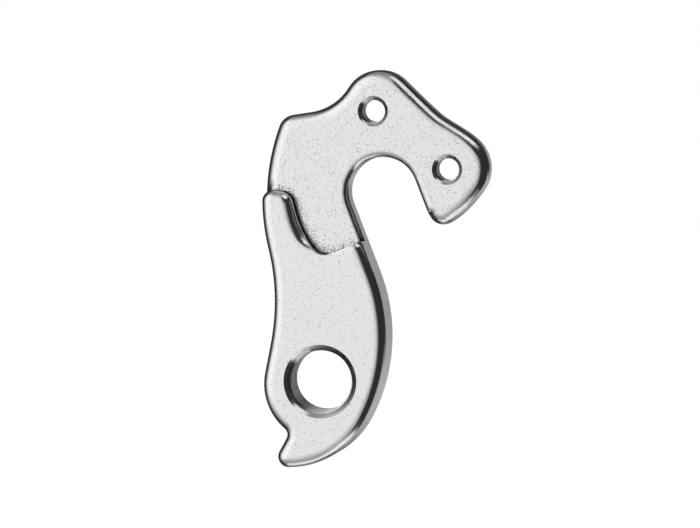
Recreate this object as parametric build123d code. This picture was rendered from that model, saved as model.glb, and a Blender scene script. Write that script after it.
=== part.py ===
from build123d import *
from math import acos, asin, atan2, degrees, hypot, sqrt
import os

# Rear derailleur hanger of a bicycle, in millimetres: one forged and machined piece of aluminium.
# X points to the front of the bicycle, Y from the derailleur's side towards the wheel, Z up.
# The origin is where the axis of the derailleur's thread meets the outer face of the boss.
# Outlines are drawn flat, with the outer face up, as (forward, up), and the finished piece is stood upright.
# Angles are in degrees, from 0 for forward, and positive turns upwards.

# Thicknesses and edges
BOSS_THICKNESS = 8.0
PLATE_THICKNESS = 4.45
BOSS_EDGE_ROUND = 1.6
PLATE_EDGE_ROUND = 1.9
BACK_EDGE_CHAMFER = 0.35

# Thread M10 x 1 for the derailleur, cut through the boss
DERAILLEUR_THREAD_RADIUS = 5.0
DERAILLEUR_FRONT_CHAMFER = 0.4
DERAILLEUR_BACK_CHAMFER = 0.9

# Open slot for the 10 mm axle of the rear wheel, placed from the derailleur's thread, and the tip of
# the hook in front of it. What belongs to the plate is placed from the axle, and moves with it.
AXLE_FORWARD = 8.6
AXLE_UP = 27.6
AXLE_RADIUS = 5.0
AXLE_CLEARANCE = 0.1
SLOT_ANGLE = 21.4
SLOT_REAR_SIDE = 10.7
SLOT_FRONT_SIDE = 5.65
SLOT_EDGE_ROUND = 1.05
HOOK_TIP_RADIUS = 2.15

# Two threads M4 x 0.7 for the screws that hold the hanger to the frame, placed from the axle
SCREW_THREAD_RADIUS = 2.0
SCREW_CHAMFER = 0.25
UPPER_SCREW_FORWARD = -1.35
UPPER_SCREW_UP = 11.8
FRONT_SCREW_FORWARD = 9.6
FRONT_SCREW_UP = 3.35

# Lugs round the screws, their rounds a little off the screws, and the saddle between them
UPPER_LUG_RADIUS = 5.3
UPPER_LUG_FORWARD = 0.65
UPPER_LUG_UP = 0.65
FRONT_LUG_RADIUS = 5.6
FRONT_LUG_FORWARD = 0.45
FRONT_LUG_UP = 0.05
SADDLE_RADIUS = 10.0
SADDLE_NECK = 4.9
SADDLE_SHIFT = 0.4

# Rear side of the plate: a long bulge, placed from the axle, turns into the top corner, and a hollow
# lies between the corner and the upper lug
BULGE_BACK = 17.4
BULGE_DOWN = 0.95
BULGE_RADIUS = 30.0
CORNER_RADIUS = 2.55
CORNER_UP = 8.65
CORNER_RUN = 2.75
HOLLOW_RADIUS = 8.0

# Rear side of the boss: a waist, the round end below it and the notch over the stop tooth
WAIST_BACK = 6.95
WAIST_UP = 11.6
WAIST_RADIUS = 32.0
END_WALL = 3.55
END_DROP = 0.55
NOTCH_RADIUS = 1.15
NOTCH_ANGLE = 230.0

# Stop tooth, and the heel that runs from its tip round the front of the thread
TOOTH_BACK = 4.85
TOOTH_DOWN = 11.2
TOOTH_TIP_RADIUS = 1.6
HEEL_WALL = 3.1
HEEL_RADIUS = 13.2

# Where rounds start and end that don't touch the next one: a smooth run lies between them
UPPER_LUG_END_ANGLE = 46.5
SADDLE_START_ANGLE = -131
SADDLE_END_ANGLE = -123
FRONT_LUG_START_ANGLE = 46
FRONT_LUG_END_ANGLE = -36
HOOK_START_ANGLE = -59
TOOTH_END_ANGLE = -206
NOTCH_START_ANGLE = -27
WAIST_RUN_ANGLE = 169.5

# S-shaped step between the plate and the boss, placed from the axle. The forging's own shoulder has a
# rounded edge. The cutter that faces the plate follows the shoulder closely at the horn, just inside it,
# and swings deeper at the bottom of the S, where it leaves a crisp edge and a small round in the corner.
SHOULDER_SLOT_SIDE = 5.5
SHOULDER_LAND = 1.37
SHOULDER_BOTTOM_RADIUS = 3.8
SHOULDER_BOTTOM_ANGLES = (-135, -65)
SHOULDER_CREST_FORWARD = 3.9
SHOULDER_CREST_UP = 0.9
SHOULDER_CREST_RADIUS = 3.5
SHOULDER_CREST_ANGLES = (105, 90)
SHOULDER_CORNER_RADIUS = 1.6
HORN_WALL = 2.45
HORN_UP = 5.9
HORN_RADIUS = 2.15
HORN_ANGLES = (84, 12)
CUT_ALLOWANCE = 0.1
CUT_BOTTOM_BACK = 0.1
CUT_BOTTOM_DOWN = 1.25
CUT_BOTTOM_RADIUS = 2.3
CUT_BOTTOM_ANGLES = (-140, -68)
CUT_CREST_FORWARD = 5.2
CUT_CREST_UP = 1.92
CUT_CREST_RADIUS = 1.5
CUT_CREST_ANGLES = (122, 90)
STEP_ROOT_ROUND = 0.65

# Places that several features share
THREAD = Vector(0, 0)
AXLE = Vector(AXLE_FORWARD, AXLE_UP)
UPPER_SCREW = AXLE + Vector(UPPER_SCREW_FORWARD, UPPER_SCREW_UP)
FRONT_SCREW = AXLE + Vector(FRONT_SCREW_FORWARD, FRONT_SCREW_UP)
UPPER_LUG = UPPER_SCREW + Vector(UPPER_LUG_FORWARD, UPPER_LUG_UP)
FRONT_LUG = FRONT_SCREW + Vector(FRONT_LUG_FORWARD, FRONT_LUG_UP)
BULGE = AXLE + Vector(BULGE_RADIUS - BULGE_BACK, -BULGE_DOWN)
SLOT_RADIUS = AXLE_RADIUS + AXLE_CLEARANCE
ACROSS_SLOT = Vector(1, 0).rotate(Axis.Z, SLOT_ANGLE)
DOWN_SLOT = ACROSS_SLOT.rotate(Axis.Z, -90)
SHOULDER_END = AXLE - ACROSS_SLOT * SLOT_RADIUS + DOWN_SLOT * SHOULDER_SLOT_SIDE
SHOULDER_CREST = SHOULDER_END - Vector(SHOULDER_LAND, 0)
SHOULDER_BOTTOM = SHOULDER_CREST - Vector(SHOULDER_CREST_FORWARD, SHOULDER_CREST_UP)
HORN = Vector(AXLE_FORWARD - BULGE_BACK + HORN_WALL, SHOULDER_BOTTOM.Y + HORN_UP)
CUT_BOTTOM = SHOULDER_BOTTOM - Vector(CUT_BOTTOM_BACK, CUT_BOTTOM_DOWN)


def at(centre, radius, angle):
    """Point at an angle on a circle."""
    return centre + Vector(radius, 0).rotate(Axis.Z, angle)


def arc(centre, radius, start, end):
    """Arc of a circle from one angle to another."""
    return CenterArc(centre, radius, start, end - start)


def direction(start, end):
    """Angle of the line from one point to another."""
    return degrees(atan2(end.Y - start.Y, end.X - start.X))


def meeting(first, first_reach, second, second_reach):
    """Point at one distance from a first point and another from a second, left of the way between them."""
    span = (second - first).length
    turn = degrees(acos((first_reach ** 2 + span ** 2 - second_reach ** 2) / (2 * first_reach * span)))
    return at(first, first_reach, direction(first, second) + turn)


def crossing_angle(first, first_radius, second, second_radius):
    """Angle on a first round where a line leaves it that touches a second round from its other side."""
    reach = (second - first).length
    return direction(first, second) + degrees(acos((first_radius + second_radius) / reach))


def smooth_run(first, second):
    """Line or curve from the end of one arc to the start of the next, tangent to both."""
    start, end = first @ 1, second @ 0
    if (first % 1).get_angle(end - start) < 0.01 and (second % 0).get_angle(end - start) < 0.01:
        return Line(start, end)
    third = (end - start).length / 3
    return Bezier(start, start + (first % 1) * third, end - (second % 0) * third, end)


def joined(arcs, closed=False):
    """Arcs in their order with a smooth run between any two that don't touch."""
    followers = arcs[1:] + arcs[:1] if closed else arcs[1:]
    edges = list(arcs)
    for first, second in zip(arcs, followers):
        if (first @ 1 - second @ 0).length > 0.001:
            edges.append(smooth_run(first, second))
    return edges


def corner_place():
    """Centre of the plate's rear top corner, tangent inside the bulge."""
    reach = BULGE_RADIUS - CORNER_RADIUS
    return at(BULGE, reach, 180 - degrees(asin((AXLE_UP + CORNER_UP - BULGE.Y) / reach)))


def top_arcs():
    """Rounds of the plate's top, from its rear corner over the hollow and the upper lug to the front lug."""
    corner = corner_place()
    hollow_reach = hypot(CORNER_RUN, CORNER_RADIUS + HOLLOW_RADIUS)
    hollow = meeting(corner, hollow_reach, UPPER_LUG, UPPER_LUG_RADIUS + HOLLOW_RADIUS)
    corner_end = crossing_angle(corner, CORNER_RADIUS, hollow, HOLLOW_RADIUS)
    lug_start = direction(UPPER_LUG, hollow)
    along_lugs = (FRONT_LUG - UPPER_LUG).normalized()
    out_of_neck = along_lugs.rotate(Axis.Z, 90)
    middle = (UPPER_LUG + FRONT_LUG) / 2
    saddle = middle + along_lugs * SADDLE_SHIFT + out_of_neck * (SADDLE_NECK + SADDLE_RADIUS)
    return [
        arc(corner, CORNER_RADIUS, direction(BULGE, corner) % 360, corner_end),
        arc(hollow, HOLLOW_RADIUS, corner_end - 180, lug_start - 180),
        arc(UPPER_LUG, UPPER_LUG_RADIUS, lug_start, UPPER_LUG_END_ANGLE),
        arc(saddle, SADDLE_RADIUS, SADDLE_START_ANGLE, SADDLE_END_ANGLE),
        arc(FRONT_LUG, FRONT_LUG_RADIUS, FRONT_LUG_START_ANGLE, FRONT_LUG_END_ANGLE),
    ]


def front_arcs():
    """Rounds of the front side, from the hook's tip past the slot, the flank and the heel to the tooth."""
    hook = AXLE + DOWN_SLOT * SLOT_FRONT_SIDE + ACROSS_SLOT * (SLOT_RADIUS + HOOK_TIP_RADIUS)
    slot_end = AXLE + DOWN_SLOT * SLOT_REAR_SIDE - ACROSS_SLOT * SLOT_RADIUS
    tooth = Vector(-TOOTH_BACK, -TOOTH_DOWN)
    heel = heel_centre(tooth)
    flank_radius = tangent_radius(slot_end, -ACROSS_SLOT, heel, HEEL_RADIUS)
    flank = slot_end - ACROSS_SLOT * flank_radius
    heel_angle = direction(flank, heel)
    tooth_angle = direction(heel, tooth)
    return [
        arc(hook, HOOK_TIP_RADIUS, HOOK_START_ANGLE, SLOT_ANGLE - 180),
        arc(AXLE, SLOT_RADIUS, SLOT_ANGLE, SLOT_ANGLE + 180),
        arc(flank, flank_radius, SLOT_ANGLE, heel_angle),
        arc(heel, HEEL_RADIUS, heel_angle, tooth_angle),
        arc(tooth, TOOTH_TIP_RADIUS, tooth_angle, TOOTH_END_ANGLE),
    ]


def heel_centre(tooth):
    """Centre of the heel, which leaves a wall in front of the thread and ends tangent to the tooth's tip."""
    forward = DERAILLEUR_THREAD_RADIUS + HEEL_WALL - HEEL_RADIUS
    rise = sqrt((HEEL_RADIUS - TOOTH_TIP_RADIUS) ** 2 - (forward - tooth.X) ** 2)
    return Vector(forward, tooth.Y + rise)


def tangent_radius(start, inward, centre, radius):
    """Radius of the round that starts at a point, curves inward and ends tangent to a circle within it."""
    to_centre = centre - start
    return (to_centre.dot(to_centre) - radius ** 2) / (2 * (inward.dot(to_centre) - radius))


def rear_arcs():
    """Rounds of the rear side, from the notch over the tooth up to the bulge."""
    end = THREAD - Vector(0, END_DROP)
    end_radius = DERAILLEUR_THREAD_RADIUS + END_WALL
    notch = at(end, end_radius + NOTCH_RADIUS, NOTCH_ANGLE)
    waist = Vector(-WAIST_BACK - WAIST_RADIUS, WAIST_UP)
    third = (BULGE.Y - waist.Y) / 3
    waist_angle = degrees(asin(third / WAIST_RADIUS))
    bulge_angle = degrees(asin(third / BULGE_RADIUS))
    return [
        arc(notch, NOTCH_RADIUS, NOTCH_START_ANGLE, NOTCH_ANGLE - 180),
        arc(end, end_radius, NOTCH_ANGLE, WAIST_RUN_ANGLE),
        arc(waist, WAIST_RADIUS, -waist_angle, waist_angle),
        arc(BULGE, BULGE_RADIUS, 180 + bulge_angle, direction(BULGE, corner_place())),
    ]


def outline_edges():
    """Outline of the whole hanger, clockwise."""
    return joined(top_arcs() + front_arcs() + rear_arcs(), closed=True)


def shoulder_edges():
    """Line of the forging's shoulder, from left to right."""
    bottom = SHOULDER_BOTTOM + Vector(0, SHOULDER_BOTTOM_RADIUS)
    crest = SHOULDER_CREST - Vector(0, SHOULDER_CREST_RADIUS)
    return step_edges([
        arc(HORN, HORN_RADIUS, *HORN_ANGLES),
        arc(bottom, SHOULDER_BOTTOM_RADIUS, *SHOULDER_BOTTOM_ANGLES),
        arc(crest, SHOULDER_CREST_RADIUS, *SHOULDER_CREST_ANGLES),
    ])


def cut_edges():
    """Line that the facing cutter follows, from left to right."""
    bottom = CUT_BOTTOM + Vector(0, CUT_BOTTOM_RADIUS)
    crest = CUT_BOTTOM + Vector(CUT_CREST_FORWARD, CUT_CREST_UP - CUT_CREST_RADIUS)
    return step_edges([
        arc(HORN, HORN_RADIUS - CUT_ALLOWANCE, *HORN_ANGLES),
        arc(bottom, CUT_BOTTOM_RADIUS, *CUT_BOTTOM_ANGLES),
        arc(crest, CUT_CREST_RADIUS, *CUT_CREST_ANGLES),
    ])


def step_edges(arcs):
    """Step line through arcs, with a straight run past the piece at both ends."""
    start, end = arcs[0] @ 0, arcs[-1] @ 1
    lead_in = Line(start - (arcs[0] % 0) * BOSS_THICKNESS, start)
    lead_out = Line(end, end + (arcs[-1] % 1) * BOSS_THICKNESS)
    return [lead_in, *joined(arcs), lead_out]


def region(step, height, reach):
    """Flat region between a step line and a level at a height, as wide as a reach to both sides."""
    start, end = step[0] @ 0, step[-1] @ 1
    frame = Polyline(end, (reach, end.Y), (reach, height), (-reach, height), (-reach, start.Y), start)
    return make_face(Wire([*step, *frame.edges()]))


def rounded_slab(flat, top, thickness, top_round):
    """Slab under a level, with a round along the edge of its top."""
    slab = extrude(Pos(0, 0, top - thickness) * flat, thickness)
    return fillet(slab.edges().group_by(Axis.Z)[-1], top_round)


def threaded_bore(place, radius, top, bottom, top_chamfer, bottom_chamfer):
    """Bore at a thread's outer radius, between two levels, with its two chamfers."""
    length = top - bottom
    bore = Cylinder(radius, length, align=(Align.CENTER, Align.CENTER, Align.MIN))
    mouth = Cone(radius, radius + top_chamfer, top_chamfer, align=(Align.CENTER, Align.CENTER, Align.MAX))
    foot = Cone(radius + bottom_chamfer, radius, bottom_chamfer,
                align=(Align.CENTER, Align.CENTER, Align.MIN))
    return Pos(place.X, place.Y, bottom) * (bore + Pos(0, 0, length) * mouth + foot)


def slot_shape(length):
    """Slot that a cutter as wide as the axle and its clearance leaves, from the axle down."""
    channel = Circle(SLOT_RADIUS) + Pos(0, -length / 2) * Rectangle(2 * SLOT_RADIUS, length)
    return Pos(*AXLE) * Rot(0, 0, SLOT_ANGLE) * channel


def slot_filling():
    """What fills the slot in the forged blank, down to the ends of its two straight sides."""
    rear, front = -SLOT_RADIUS, SLOT_RADIUS
    sides = Polyline((rear, 0), (front, 0), (front, -SLOT_FRONT_SIDE), (rear, -SLOT_REAR_SIDE), close=True)
    return Pos(*AXLE) * Rot(0, 0, SLOT_ANGLE) * (Circle(SLOT_RADIUS) + make_face(sides))


def make_plate(outline, plate_top, reach):
    """Forged blank of the plate with its wide outer round, from the waist of the boss up."""
    above_waist = Pos(0, WAIST_UP + reach) * Rectangle(2 * reach, 2 * reach)
    blank = (outline + slot_filling()) & above_waist
    return rounded_slab(blank, plate_top, PLATE_THICKNESS, PLATE_EDGE_ROUND)


def make_boss(outline, reach):
    """Thick lower part with its rounded shoulder."""
    flat = outline & region(shoulder_edges(), -reach, reach)
    rear_corner = flat.vertices().filter_by(lambda v: v.Y > HORN.Y).sort_by(Axis.X)[0]
    front_corner = flat.vertices().filter_by(lambda v: v.Y > CUT_BOTTOM.Y).sort_by(Axis.X)[-1]
    flat = fillet([rear_corner, front_corner], SHOULDER_CORNER_RADIUS)
    return rounded_slab(flat, 0, BOSS_THICKNESS, BOSS_EDGE_ROUND)


def make_facing(plate_top, reach):
    """Shape that the facing cutter clears above the plate, its lower edge round as the cutter's corner."""
    facing = extrude(Pos(0, 0, plate_top) * region(cut_edges(), reach, reach), BOSS_THICKNESS)
    return fillet(facing.edges().group_by(Axis.Z)[0], STEP_ROOT_ROUND)


def make_slot_cutter(plate_top, reach):
    """Form cutter that rounds the slot's edge, within what the facing cutter has cleared."""
    shank = extrude(Pos(0, 0, plate_top - PLATE_THICKNESS) * slot_shape(reach), PLATE_THICKNESS)
    head = extrude(Pos(0, 0, plate_top) * Rectangle(4 * reach, 4 * reach), BOSS_THICKNESS)
    cutter = shank + head
    flare = cutter.edges().filter_by_position(Axis.Z, plate_top, plate_top)
    flare = flare.filter_by(lambda edge: edge.length < 2 * reach)
    cutter = fillet(flare, SLOT_EDGE_ROUND)
    cleared = Pos(0, 0, -BOSS_THICKNESS) * region(cut_edges(), reach, reach)
    return cutter & extrude(cleared, BOSS_THICKNESS)


def make_hanger():
    """The finished hanger, still lying flat with the boss's outer face at level 0."""
    outline = make_face(Wire(outline_edges()))
    reach = outline.bounding_box().diagonal
    back = -BOSS_THICKNESS
    plate_top = back + PLATE_THICKNESS
    plate = make_plate(outline, plate_top, reach)
    land = extrude(plate.faces().sort_by(Axis.Z)[-1], STEP_ROOT_ROUND)
    hanger = plate + make_boss(outline, reach) + land - make_facing(plate_top, reach)
    hanger -= extrude(Pos(0, 0, back) * slot_shape(reach), BOSS_THICKNESS)
    hanger -= make_slot_cutter(plate_top, reach)
    hanger = chamfer(hanger.edges().group_by(Axis.Z)[0], BACK_EDGE_CHAMFER)
    hanger -= threaded_bore(THREAD, DERAILLEUR_THREAD_RADIUS, 0, back,
                            DERAILLEUR_FRONT_CHAMFER, DERAILLEUR_BACK_CHAMFER)
    for place in (UPPER_SCREW, FRONT_SCREW):
        hanger -= threaded_bore(place, SCREW_THREAD_RADIUS, plate_top, back, SCREW_CHAMFER, SCREW_CHAMFER)
    return hanger


os.makedirs("parts", exist_ok=True)
hanger = Plane.XZ.location * make_hanger()
export_step(hanger, "parts/hanger.step")
print("hanger", round(hanger.volume), "mm3", hanger.bounding_box().size)
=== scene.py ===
"""Dresses the rear derailleur hanger: tumbled aluminium, its cut threads, and a small photo studio."""

import logging
import math
from dataclasses import dataclass, field
from enum import Enum
from typing import Any

import bpy
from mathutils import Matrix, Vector


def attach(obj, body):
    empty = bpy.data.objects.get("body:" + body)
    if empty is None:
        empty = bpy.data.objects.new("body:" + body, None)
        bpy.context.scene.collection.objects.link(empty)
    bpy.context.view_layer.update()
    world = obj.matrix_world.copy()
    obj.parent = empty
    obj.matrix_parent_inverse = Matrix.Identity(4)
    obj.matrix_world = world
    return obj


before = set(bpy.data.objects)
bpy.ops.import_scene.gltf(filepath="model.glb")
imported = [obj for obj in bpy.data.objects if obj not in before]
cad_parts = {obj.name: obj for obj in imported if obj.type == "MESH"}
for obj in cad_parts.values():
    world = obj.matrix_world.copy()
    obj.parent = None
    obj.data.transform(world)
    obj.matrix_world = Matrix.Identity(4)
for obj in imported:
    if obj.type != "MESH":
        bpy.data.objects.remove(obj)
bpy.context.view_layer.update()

MM = 0.001
BODY = "root"
log = logging.getLogger("hanger")


def millimetres(*lengths: float) -> tuple[float, ...]:
    """Turns lengths in millimetres into the scene's metres."""
    return tuple(length * MM for length in lengths)


def linear(colour: str) -> tuple[float, float, float, float]:
    """Turns an sRGB hex colour into the linear values that a shader takes.

    Args:
        colour: The colour as "#RRGGBB".

    Returns:
        Linear red, green and blue, and an alpha of 1.
    """
    shares = [int(colour[place : place + 2], 16) / 255 for place in (1, 3, 5)]
    lit = [share / 12.92 if share <= 0.04045 else ((share + 0.055) / 1.055) ** 2.4 for share in shares]
    return (*lit, 1.0)


def add_node(
    tree: bpy.types.NodeTree, kind: str, inputs: dict[Any, Any] | None = None, **settings: Any
) -> bpy.types.Node:
    """Adds a node with its settings, and links or sets its inputs.

    Args:
        tree: The node tree of a material or of the world.
        kind: The node's type name.
        inputs: For each input's name or number, a socket to link or a value to set.
        **settings: The node's own properties.

    Returns:
        The new node.
    """
    node = tree.nodes.new(kind)
    for name, value in settings.items():
        setattr(node, name, value)
    for name, value in (inputs or {}).items():
        if isinstance(value, bpy.types.NodeSocket):
            tree.links.new(value, node.inputs[name])
        else:
            node.inputs[name].default_value = value
    return node


def fade(
    tree: bpy.types.NodeTree, value: bpy.types.NodeSocket, start: float, end: float
) -> bpy.types.NodeSocket:
    """Adds a smooth step that goes from 0 at start to 1 at end.

    Args:
        tree: The node tree.
        value: The socket that is stepped.
        start: The value where the step is 0.
        end: The value where the step is 1. It may lie below start.

    Returns:
        The socket with the step.
    """
    low, high = min(start, end), max(start, end)
    step = add_node(
        tree,
        "ShaderNodeMapRange",
        {
            "Value": value,
            "From Min": low,
            "From Max": high,
            "To Min": float(start > end),
            "To Max": float(start <= end),
        },
        interpolation_type="SMOOTHSTEP",
    )
    return step.outputs["Result"]


def calculate(tree: bpy.types.NodeTree, operation: str, *values: Any) -> bpy.types.NodeSocket:
    """Adds a math node.

    Args:
        tree: The node tree.
        operation: The name of the math operation.
        *values: Sockets or numbers, in the node's order.

    Returns:
        The socket with the result.
    """
    node = add_node(tree, "ShaderNodeMath", dict(enumerate(values)), operation=operation)
    return node.outputs["Value"]


def deselect_all() -> None:
    """Leaves edit mode and clears the selection, so that the next operator acts on its own piece only."""
    if bpy.context.object and bpy.context.object.mode != "OBJECT":
        bpy.ops.object.mode_set(mode="OBJECT")
    bpy.ops.object.select_all(action="DESELECT")


def apply_place(piece: bpy.types.Object) -> None:
    """Moves a piece's place into its mesh, so that its object stands at the origin, unturned."""
    deselect_all()
    piece.select_set(True)
    bpy.context.view_layer.objects.active = piece
    bpy.ops.object.transform_apply(location=True, rotation=True, scale=True)


def apply_modifier(piece: bpy.types.Object, kind: str, **settings: Any) -> None:
    """Adds a modifier with its settings to a piece and applies it.

    Args:
        piece: The mesh object.
        kind: The modifier's type name.
        **settings: The modifier's own properties.
    """
    deselect_all()
    piece.select_set(True)
    bpy.context.view_layer.objects.active = piece
    modifier = piece.modifiers.new(kind.lower(), kind)
    for name, value in settings.items():
        setattr(modifier, name, value)
    bpy.ops.object.modifier_apply(modifier=modifier.name)


@dataclass(frozen=True)
class TumbledAluminium:
    """Aluminium that was forged, machined and then tumbled with polishing stones, and left bare.

    The stones leave a bright surface with slight waves and many fine dark pits. The trimmed walls,
    which the stones hardly reach, stay satin. Painted shade turns the inner corners of the tilted walls
    matt black. To the eye it is a mirror gone slightly soft, with crisp dark and white edges.
    """

    name: str = "tumbled_aluminium"
    metal: str = "#F3F3F4"
    dull_metal: str = "#DFE0E2"
    pit_floor: str = "#3E4042"
    painted_corner_shade: str = "#1C1D1E"
    polished_roughness: float = 0.17
    satin_roughness: float = 0.36
    pit_size: float = 0.16
    pit_depth: float = 0.004
    grain_size: float = 0.09
    stone_reach: float = 2.2
    wave_length: float = 2.4
    wave_height: float = 0.0035
    plate_face: float = 3.55
    grain_fade: tuple[float, float] = (0.62, 0.38)
    pitted_corner: tuple[float, float] = (0.86, 0.68)
    painted_shade_fade: tuple[float, float] = (0.985, 0.93)
    tilted_surface: tuple[float, float] = (0.97, 0.8)
    upright_wall: tuple[float, float] = (0.3, 0.08)
    boss_pit_level: float = 0.655
    plate_pit_change: float = -0.02
    corner_pit_change: float = -0.08
    pit_edge: float = 0.04

    def material(self) -> bpy.types.Material:
        """Builds the material.

        Returns:
            A material that reads Object coordinates, in which one unit is one metre.
        """
        made = bpy.data.materials.new(self.name)
        made.use_nodes = True
        tree = made.node_tree
        tree.nodes.clear()
        coordinates = add_node(tree, "ShaderNodeTexCoord")
        place = add_node(
            tree,
            "ShaderNodeVectorMath",
            {0: coordinates.outputs["Object"], 1: (1000, 1000, 1000), 2: (0, self.pit_size / 2, 0)},
            operation="MULTIPLY_ADD",
        ).outputs["Vector"]
        openness = self.openness(tree)
        pits = self.pits(tree, place, fade(tree, openness, *self.pitted_corner))
        walls = self.walls(tree, coordinates.outputs["Normal"])
        turned = add_node(tree, "ShaderNodeSeparateXYZ", {0: coordinates.outputs["Normal"]}).outputs["Y"]
        tilted = fade(tree, calculate(tree, "ABSOLUTE", turned), *self.tilted_surface)
        # Painted shade: inner corners that ambient occlusion finds on tilted surfaces turn near black, matt
        # and not metallic.
        painted_shade = calculate(tree, "MULTIPLY", fade(tree, openness, *self.painted_shade_fade), tilted)
        grain = self.noise(tree, place, self.grain_size, detail=2)
        cloud = self.noise(tree, place, self.wave_length, detail=1)
        tone = add_node(
            tree,
            "ShaderNodeMix",
            {0: fade(tree, grain, *self.grain_fade), 6: linear(self.metal), 7: linear(self.dull_metal)},
            data_type="RGBA",
        ).outputs[2]
        pitted = add_node(
            tree, "ShaderNodeMix", {0: pits, 6: tone, 7: linear(self.pit_floor)}, data_type="RGBA"
        ).outputs[2]
        colour = add_node(
            tree, "ShaderNodeMix", {0: painted_shade, 6: pitted, 7: linear(self.painted_corner_shade)}, data_type="RGBA"
        ).outputs[2]
        # Where the painted shade lies, the metal loses its metallic look and most of its gloss.
        unshaded = calculate(tree, "SUBTRACT", 1.0, painted_shade)
        gloss = calculate(tree, "MULTIPLY", unshaded, 0.5)
        polished = calculate(tree, "MULTIPLY_ADD", cloud, 0.08, self.polished_roughness - 0.04)
        roughness = add_node(
            tree, "ShaderNodeMix", {0: walls, 2: polished, 3: self.satin_roughness}
        ).outputs[0]
        waves = add_node(
            tree, "ShaderNodeBump", {"Height": cloud, "Distance": self.wave_height * MM, "Strength": 1.0}
        ).outputs["Normal"]
        sunk = add_node(
            tree,
            "ShaderNodeBump",
            {"Height": pits, "Distance": self.pit_depth * MM, "Strength": 1.0, "Normal": waves},
            invert=True,
        ).outputs["Normal"]
        shader = add_node(
            tree,
            "ShaderNodeBsdfPrincipled",
            {
                "Base Color": colour,
                "Metallic": unshaded,
                "Roughness": roughness,
                "Specular IOR Level": gloss,
                "Normal": sunk,
            },
        )
        add_node(tree, "ShaderNodeOutputMaterial", {"Surface": shader.outputs["BSDF"]})
        return made

    def openness(self, tree: bpy.types.NodeTree) -> bpy.types.NodeSocket:
        """Measures how open a place is, which sets the painted shade and the denser pits in the inner
        corners.

        Args:
            tree: The material's node tree.

        Returns:
            A socket that is 1 on an open face and falls towards 0 in an inner corner or a small hole.
        """
        reach = add_node(
            tree,
            "ShaderNodeAmbientOcclusion",
            {"Distance": self.stone_reach * MM},
            samples=8,
            only_local=True,
        )
        return reach.outputs["AO"]

    def pits(
        self, tree: bpy.types.NodeTree, place: bpy.types.NodeSocket, sheltered: bpy.types.NodeSocket
    ) -> bpy.types.NodeSocket:
        """Draws the fine pits, which are denser on the recessed plate than on the boss.

        Args:
            tree: The material's node tree.
            place: The place on the piece in millimetres.
            sheltered: How far the place lies in an inner corner, where pits are densest.

        Returns:
            A socket that is 1 in a pit and 0 beside it.
        """
        specks = self.noise(tree, place, self.pit_size, detail=3)
        depth = add_node(tree, "ShaderNodeSeparateXYZ", {0: place}).outputs["Y"]
        recessed = fade(tree, depth, self.plate_face - 1.0, self.plate_face - 0.2)
        fewest = calculate(tree, "MULTIPLY_ADD", recessed, self.plate_pit_change, self.boss_pit_level)
        lowest = calculate(tree, "MULTIPLY_ADD", sheltered, self.corner_pit_change, fewest)
        return fade(tree, calculate(tree, "SUBTRACT", specks, lowest), 0.0, self.pit_edge)

    def walls(self, tree: bpy.types.NodeTree, normal: bpy.types.NodeSocket) -> bpy.types.NodeSocket:
        """Finds the walls that stand across the thickness.

        Args:
            tree: The material's node tree.
            normal: The surface's direction on the piece.

        Returns:
            A socket that is 1 on a wall and 0 on the faces and most of the rounded edge.
        """
        turned = add_node(tree, "ShaderNodeSeparateXYZ", {0: normal}).outputs["Y"]
        return fade(tree, calculate(tree, "ABSOLUTE", turned), *self.upright_wall)

    def noise(
        self, tree: bpy.types.NodeTree, place: bpy.types.NodeSocket, size: float, detail: int
    ) -> bpy.types.NodeSocket:
        """Adds a noise whose spots have a real size.

        Args:
            tree: The material's node tree.
            place: The place on the piece in millimetres.
            size: The size of a spot in millimetres.
            detail: How many finer layers lie in it.

        Returns:
            The socket with the noise, from 0 to 1.
        """
        made = add_node(tree, "ShaderNodeTexNoise", {"Vector": place, "Scale": 1 / size, "Detail": detail})
        return made.outputs[0]


@dataclass(frozen=True)
class CutAluminium:
    """Aluminium as a tap leaves it: bright, with fine tearing along the thread."""

    name: str = "cut_aluminium"
    metal: str = "#D2D3D5"
    torn_metal: str = "#77797C"
    roughness: float = 0.2
    tear_spacing: float = 0.12

    def material(self) -> bpy.types.Material:
        """Builds the material.

        Returns:
            A material that reads Object coordinates, in which one unit is one metre.
        """
        made = bpy.data.materials.new(self.name)
        made.use_nodes = True
        tree = made.node_tree
        tree.nodes.clear()
        place = add_node(tree, "ShaderNodeTexCoord").outputs["Object"]
        tears = add_node(
            tree,
            "ShaderNodeTexNoise",
            {"Vector": place, "Scale": 1 / (self.tear_spacing * MM), "Detail": 3.0},
        ).outputs[0]
        colour = add_node(
            tree,
            "ShaderNodeMix",
            {0: fade(tree, tears, 0.45, 0.7), 6: linear(self.metal), 7: linear(self.torn_metal)},
            data_type="RGBA",
        ).outputs[2]
        roughness = calculate(tree, "MULTIPLY_ADD", tears, 0.16, self.roughness - 0.08)
        shader = add_node(
            tree,
            "ShaderNodeBsdfPrincipled",
            {"Base Color": colour, "Metallic": 1.0, "Roughness": roughness},
        )
        add_node(tree, "ShaderNodeOutputMaterial", {"Surface": shader.outputs["BSDF"]})
        return made


@dataclass
class HangerBody:
    """The forged and machined hanger itself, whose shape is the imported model's."""

    node: str = "hanger"
    finish: TumbledAluminium = field(default_factory=TumbledAluminium)

    def dress(self) -> list[bpy.types.Object]:
        """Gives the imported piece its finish.

        Returns:
            The dressed piece.
        """
        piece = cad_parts[self.node]
        surface = self.finish.material()
        for place in piece.material_slots:
            place.material = surface
        return [piece]


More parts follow.
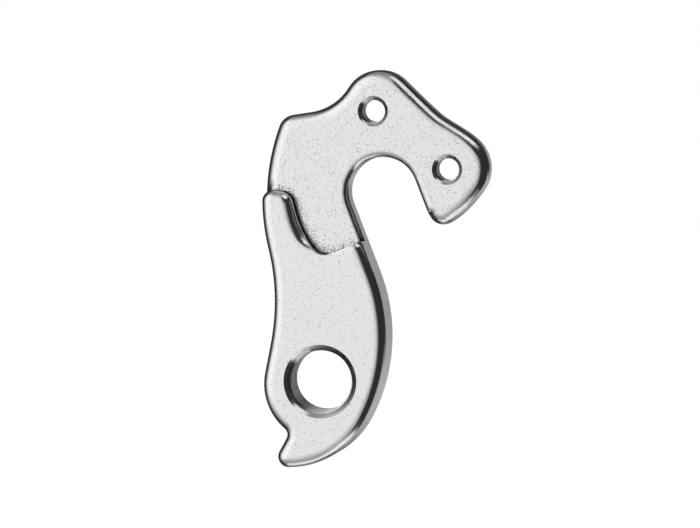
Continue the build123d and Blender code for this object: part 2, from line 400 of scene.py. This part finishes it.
@dataclass
class TappedThread:
    """The ridge of one kind of tapped thread, made once and copied to each hole.

    All sizes are in millimetres. The hole's axis runs along Y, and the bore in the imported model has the
    thread's outer radius, so the ridge is what stands inwards from it.
    """

    name: str
    holes: list[tuple[float, float]]
    outer_radius: float
    pitch: float
    front_face: float
    back_face: float
    front_chamfer: float
    back_chamfer: float
    finish: CutAluminium = field(default_factory=CutAluminium)
    steps: int = 72
    sunk: float = 0.03

    @property
    def height(self) -> float:
        """Height of the ridge, from the thread's basic profile."""
        return 0.5413 * self.pitch

    def build(self) -> list[bpy.types.Object]:
        """Builds the ridge in every hole.

        Returns:
            One piece for each hole.
        """
        first = self.wind(self.profile())
        self.close_ends(first)
        self.cut_mouth(first, self.front_face, self.front_chamfer, 1)
        self.cut_mouth(first, self.back_face, self.back_chamfer, -1)
        deselect_all()
        first.select_set(True)
        bpy.context.view_layer.objects.active = first
        bpy.ops.object.shade_smooth_by_angle(angle=math.radians(25))
        surface = self.finish.material()
        made = []
        for number, (forward, up) in enumerate(self.holes, 1):
            piece = first.copy()
            piece.data = first.data.copy()
            piece.name = piece.data.name = f"{self.name}_{number}" if len(self.holes) > 1 else self.name
            bpy.context.collection.objects.link(piece)
            piece.location = millimetres(forward, 0, up)
            apply_place(piece)
            piece.data.materials.clear()
            piece.data.materials.append(surface)
            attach(piece, BODY)
            made.append(piece)
        bpy.data.objects.remove(first)
        return made

    def profile(self) -> bpy.types.Object:
        """Makes the ridge's cross-section at the thread's start, wide at the wall and narrow inside.

        Returns:
            An outline of four edges in the XY plane.
        """
        root_width = self.pitch * 7 / 8
        crest_width = self.pitch / 4
        depth = self.height + self.sunk
        outer = self.outer_radius + self.sunk
        deselect_all()
        bpy.ops.mesh.primitive_plane_add(size=1)
        piece = bpy.context.object
        bpy.ops.object.mode_set(mode="EDIT")
        bpy.ops.transform.resize(value=millimetres(depth, root_width, 1))
        bpy.ops.transform.translate(value=millimetres(outer - depth / 2, 0, 0))
        bpy.ops.mesh.delete(type="ONLY_FACE")
        bpy.ops.mesh.select_all(action="DESELECT")
        bpy.ops.object.mode_set(mode="OBJECT")
        for corner in piece.data.vertices:
            corner.select = corner.co.x < (outer - depth / 2) * MM
        bpy.ops.object.mode_set(mode="EDIT")
        bpy.ops.transform.resize(value=(1, crest_width / root_width, 1))
        bpy.ops.object.mode_set(mode="OBJECT")
        return piece

    def wind(self, piece: bpy.types.Object) -> bpy.types.Object:
        """Winds the cross-section round the axis, from one face through to the other.

        Args:
            piece: The cross-section at Y = 0.

        Returns:
            The ridge, still longer than the hole.
        """
        turns = math.ceil((self.back_face - self.front_face) / self.pitch) + 1
        apply_modifier(
            piece,
            "SCREW",
            axis="Y",
            angle=-2 * math.pi,
            screw_offset=self.pitch * MM,
            iterations=turns,
            steps=self.steps,
            render_steps=self.steps,
            use_smooth_shade=False,
        )
        piece.location.y = (self.front_face - self.pitch / 2) * MM
        apply_place(piece)
        return piece

    def close_ends(self, piece: bpy.types.Object) -> None:
        """Closes the two ends of the ridge and turns its faces outwards."""
        bpy.ops.object.mode_set(mode="EDIT")
        bpy.ops.mesh.select_all(action="SELECT")
        bpy.ops.mesh.remove_doubles(threshold=1e-7)
        bpy.ops.mesh.select_all(action="DESELECT")
        bpy.ops.mesh.select_mode(type="EDGE")
        bpy.ops.mesh.select_non_manifold()
        bpy.ops.mesh.fill_holes(sides=4)
        bpy.ops.mesh.select_all(action="SELECT")
        bpy.ops.mesh.normals_make_consistent(inside=False)
        bpy.ops.object.mode_set(mode="OBJECT")

    def cut_mouth(self, piece: bpy.types.Object, face: float, chamfer: float, inward: int) -> None:
        """Cuts the ridge off along the cone of the hole's chamfer.

        Args:
            piece: The ridge.
            face: Where the hole's mouth lies along Y.
            chamfer: The chamfer's width at the wall.
            inward: 1 where the hole runs on along +Y, and -1 where it runs along -Y.
        """
        spare = 3 * self.pitch
        wide = self.outer_radius + chamfer + spare
        narrow = self.outer_radius - self.height - self.pitch
        length = wide - narrow
        deselect_all()
        bpy.ops.mesh.primitive_cone_add(
            vertices=96,
            radius1=wide * MM,
            radius2=narrow * MM,
            depth=length * MM,
            rotation=(-math.pi / 2 * inward, 0, 0),
        )
        cutter = bpy.context.object
        cutter.location.y = (face + inward * (length / 2 - spare)) * MM
        apply_place(cutter)
        apply_modifier(piece, "BOOLEAN", operation="DIFFERENCE", object=cutter, solver="EXACT")
        bpy.data.objects.remove(cutter)


class PanelKind(Enum):
    """What stands round the piece in the studio."""

    SOFTBOX = "softbox"
    FLAG = "flag"


@dataclass(frozen=True)
class Panel:
    """One softbox or black flag far away, as the metal sees it.

    Angles are in degrees. Azimuth 0 is straight in front of the boss's face and positive is to the front
    of the bicycle, elevation is above the horizon.
    """

    name: str
    kind: PanelKind
    azimuth: float
    elevation: float
    half_width: float
    half_height: float
    side_fade: float
    top_fade: float
    level: float

    def side_edge(self) -> tuple[float, float]:
        """Gives the angles beside the middle where the panel's side begins and where it is full."""
        return self.half_width + self.side_fade / 2, self.half_width - self.side_fade / 2

    def top_edge(self) -> tuple[float, float]:
        """Gives the angles above and below the middle where the panel begins and where it is full."""
        return self.half_height + self.top_fade / 2, self.half_height - self.top_fade / 2


@dataclass
class Studio:
    """Plain pale floor, soft light with a few dark flags round the piece, and the camera."""

    floor_colour: str = "#EDEDEC"
    floor_level: float = -25.0
    floor_radius: float = 900.0
    floor_glow: float = 0.71
    room_level: float = 0.25
    lens: float = 246.6
    sensor: float = 36.0
    camera_place: tuple[float, float, float] = (119.503, -687.454, 58.652)
    camera_azimuth: float = 9.5
    camera_elevation: float = 3.4
    panels: tuple[Panel, ...] = (
        Panel("table_front", PanelKind.SOFTBOX, -12.0, -48.0, 58.0, 28.0, 26.0, 20.0, 0.38),
        Panel("table_below", PanelKind.SOFTBOX, 0.0, -90.0, 200.0, 16.0, 10.0, 14.0, 0.97),
        Panel("ceiling", PanelKind.SOFTBOX, 0.0, 90.0, 200.0, 30.0, 10.0, 20.0, 0.3),
        Panel("side_flags", PanelKind.FLAG, 180.0, 16.0, 140.0, 44.0, 12.0, 30.0, 0.03),
        Panel("low_left_flag", PanelKind.FLAG, -120.0, -42.0, 40.0, 22.0, 16.0, 14.0, 0.04),
        Panel("low_flag", PanelKind.FLAG, 102.0, -35.0, 64.0, 30.0, 12.0, 14.0, 0.03),
        Panel("back_box", PanelKind.SOFTBOX, 141.0, -30.0, 19.0, 21.0, 14.0, 12.0, 0.5),
        Panel("front_box", PanelKind.SOFTBOX, -5.0, 14.0, 28.0, 42.0, 40.0, 60.0, 0.88),
        Panel("left_box", PanelKind.SOFTBOX, -50.0, 20.0, 34.0, 45.0, 52.0, 40.0, 1.15),
        Panel("upper_flag", PanelKind.FLAG, 44.0, 34.0, 22.0, 17.0, 16.0, 14.0, 0.03),
        Panel("top_right_box", PanelKind.SOFTBOX, 77.0, 59.0, 28.0, 15.0, 10.0, 8.0, 1.0),
        Panel("low_right_box", PanelKind.SOFTBOX, 75.0, -62.0, 42.0, 16.0, 10.0, 8.0, 1.0),
        Panel("backdrop", PanelKind.SOFTBOX, -170.5, -3.4, 5.0, 5.0, 3.0, 3.0, 1.0),
        Panel("backdrop_side", PanelKind.SOFTBOX, 172.0, -3.4, 11.0, 14.0, 8.0, 8.0, 0.7),
    )

    def build(self) -> list[bpy.types.Object]:
        """Builds the floor, the light and the camera.

        Returns:
            The floor.
        """
        self.light_room()
        self.place_camera()
        return [self.lay_floor()]

    def light_room(self) -> None:
        """Lights the piece with the panels, each over the ones before it, and makes the background white."""
        world = bpy.data.worlds.new("studio")
        bpy.context.scene.world = world
        world.use_nodes = True
        tree = world.node_tree
        tree.nodes.clear()
        direction = add_node(tree, "ShaderNodeTexCoord").outputs["Generated"]
        parts = add_node(tree, "ShaderNodeSeparateXYZ", {0: direction})
        forward = calculate(tree, "MULTIPLY", parts.outputs["Y"], -1.0)
        azimuth = calculate(tree, "ARCTAN2", parts.outputs["X"], forward)
        azimuth = calculate(tree, "DEGREES", azimuth)
        elevation = calculate(tree, "DEGREES", calculate(tree, "ARCSINE", parts.outputs["Z"]))
        level = None
        for panel in self.panels:
            place = (panel.azimuth, panel.elevation)
            log.info("%s %s at azimuth %.0f, elevation %.0f", panel.kind.value, panel.name, *place)
            beside = calculate(tree, "SUBTRACT", azimuth, panel.azimuth)
            across = calculate(tree, "ABSOLUTE", calculate(tree, "WRAP", beside, 180.0, -180.0))
            above = calculate(tree, "ABSOLUTE", calculate(tree, "SUBTRACT", elevation, panel.elevation))
            covered = calculate(
                tree,
                "MULTIPLY",
                fade(tree, across, *panel.side_edge()),
                fade(tree, above, *panel.top_edge()),
            )
            before = self.room_level if level is None else level
            level = add_node(tree, "ShaderNodeMix", {0: covered, 2: before, 3: panel.level}).outputs[0]
        seen = add_node(tree, "ShaderNodeLightPath").outputs["Is Camera Ray"]
        strength = add_node(tree, "ShaderNodeMix", {0: seen, 2: level, 3: 1.0}).outputs[0]
        light = add_node(tree, "ShaderNodeBackground", {"Color": (1, 1, 1, 1), "Strength": strength})
        add_node(tree, "ShaderNodeOutputWorld", {"Surface": light.outputs["Background"]})

    def lay_floor(self) -> bpy.types.Object:
        """Lays the pale paper floor a little below the piece, which hangs free as it does on its frame.

        Returns:
            The floor.
        """
        deselect_all()
        bpy.ops.mesh.primitive_circle_add(vertices=96, radius=self.floor_radius * MM, fill_type="NGON")
        floor = bpy.context.object
        floor.name = floor.data.name = "floor"
        floor.location = millimetres(0, 0, self.floor_level)
        apply_place(floor)
        floor.data.materials.append(self.paper())
        return floor

    def paper(self) -> bpy.types.Material:
        """Makes the floor's matt paper, which looks white to the camera and keeps the piece's soft shadow.

        Returns:
            The floor's material.
        """
        made = bpy.data.materials.new("matt_paper")
        made.use_nodes = True
        tree = made.node_tree
        tree.nodes.clear()
        seen = add_node(tree, "ShaderNodeLightPath")
        matt = add_node(tree, "ShaderNodeBsdfDiffuse", {"Color": linear(self.floor_colour)})
        glow_level = calculate(tree, "MULTIPLY", seen.outputs["Is Camera Ray"], self.floor_glow)
        glow = add_node(tree, "ShaderNodeEmission", {"Strength": glow_level})
        lit = add_node(tree, "ShaderNodeAddShader", {0: matt.outputs["BSDF"], 1: glow.outputs["Emission"]})
        clear = add_node(tree, "ShaderNodeBsdfTransparent")
        mixed = add_node(
            tree,
            "ShaderNodeMixShader",
            {0: seen.outputs["Is Glossy Ray"], 1: lit.outputs["Shader"], 2: clear.outputs["BSDF"]},
        )
        add_node(tree, "ShaderNodeOutputMaterial", {"Surface": mixed.outputs["Shader"]})
        return made

    def place_camera(self) -> None:
        """Puts the camera where the photograph was taken from."""
        lens = bpy.data.cameras.new("camera")
        lens.lens = self.lens
        lens.sensor_width = self.sensor
        camera = bpy.data.objects.new("camera", lens)
        bpy.context.collection.objects.link(camera)
        camera.location = millimetres(*self.camera_place)
        tilt = math.radians(90 - self.camera_elevation)
        camera.rotation_euler = (tilt, 0, math.radians(self.camera_azimuth))
        bpy.context.scene.camera = camera


def main() -> None:
    """Builds every sub-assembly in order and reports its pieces."""
    logging.basicConfig(level=logging.INFO, format="%(name)s: %(message)s")
    bpy.context.scene.view_settings.view_transform = "Standard"
    derailleur_thread = TappedThread(
        name="derailleur_thread",
        holes=[(0.0, 0.0)],
        outer_radius=5.0,
        pitch=1.0,
        front_face=0.0,
        back_face=8.0,
        front_chamfer=0.4,
        back_chamfer=0.9,
    )
    screw_threads = TappedThread(
        name="screw_thread",
        holes=[(7.25, 39.4), (18.2, 30.95)],
        outer_radius=2.0,
        pitch=0.7,
        front_face=3.55,
        back_face=8.0,
        front_chamfer=0.25,
        back_chamfer=0.25,
    )
    made = HangerBody().dress() + derailleur_thread.build() + screw_threads.build() + Studio().build()
    for piece in made:
        log.info("%s with %d faces", piece.name, len(piece.data.polygons))


if __name__ == "__main__":
    main()
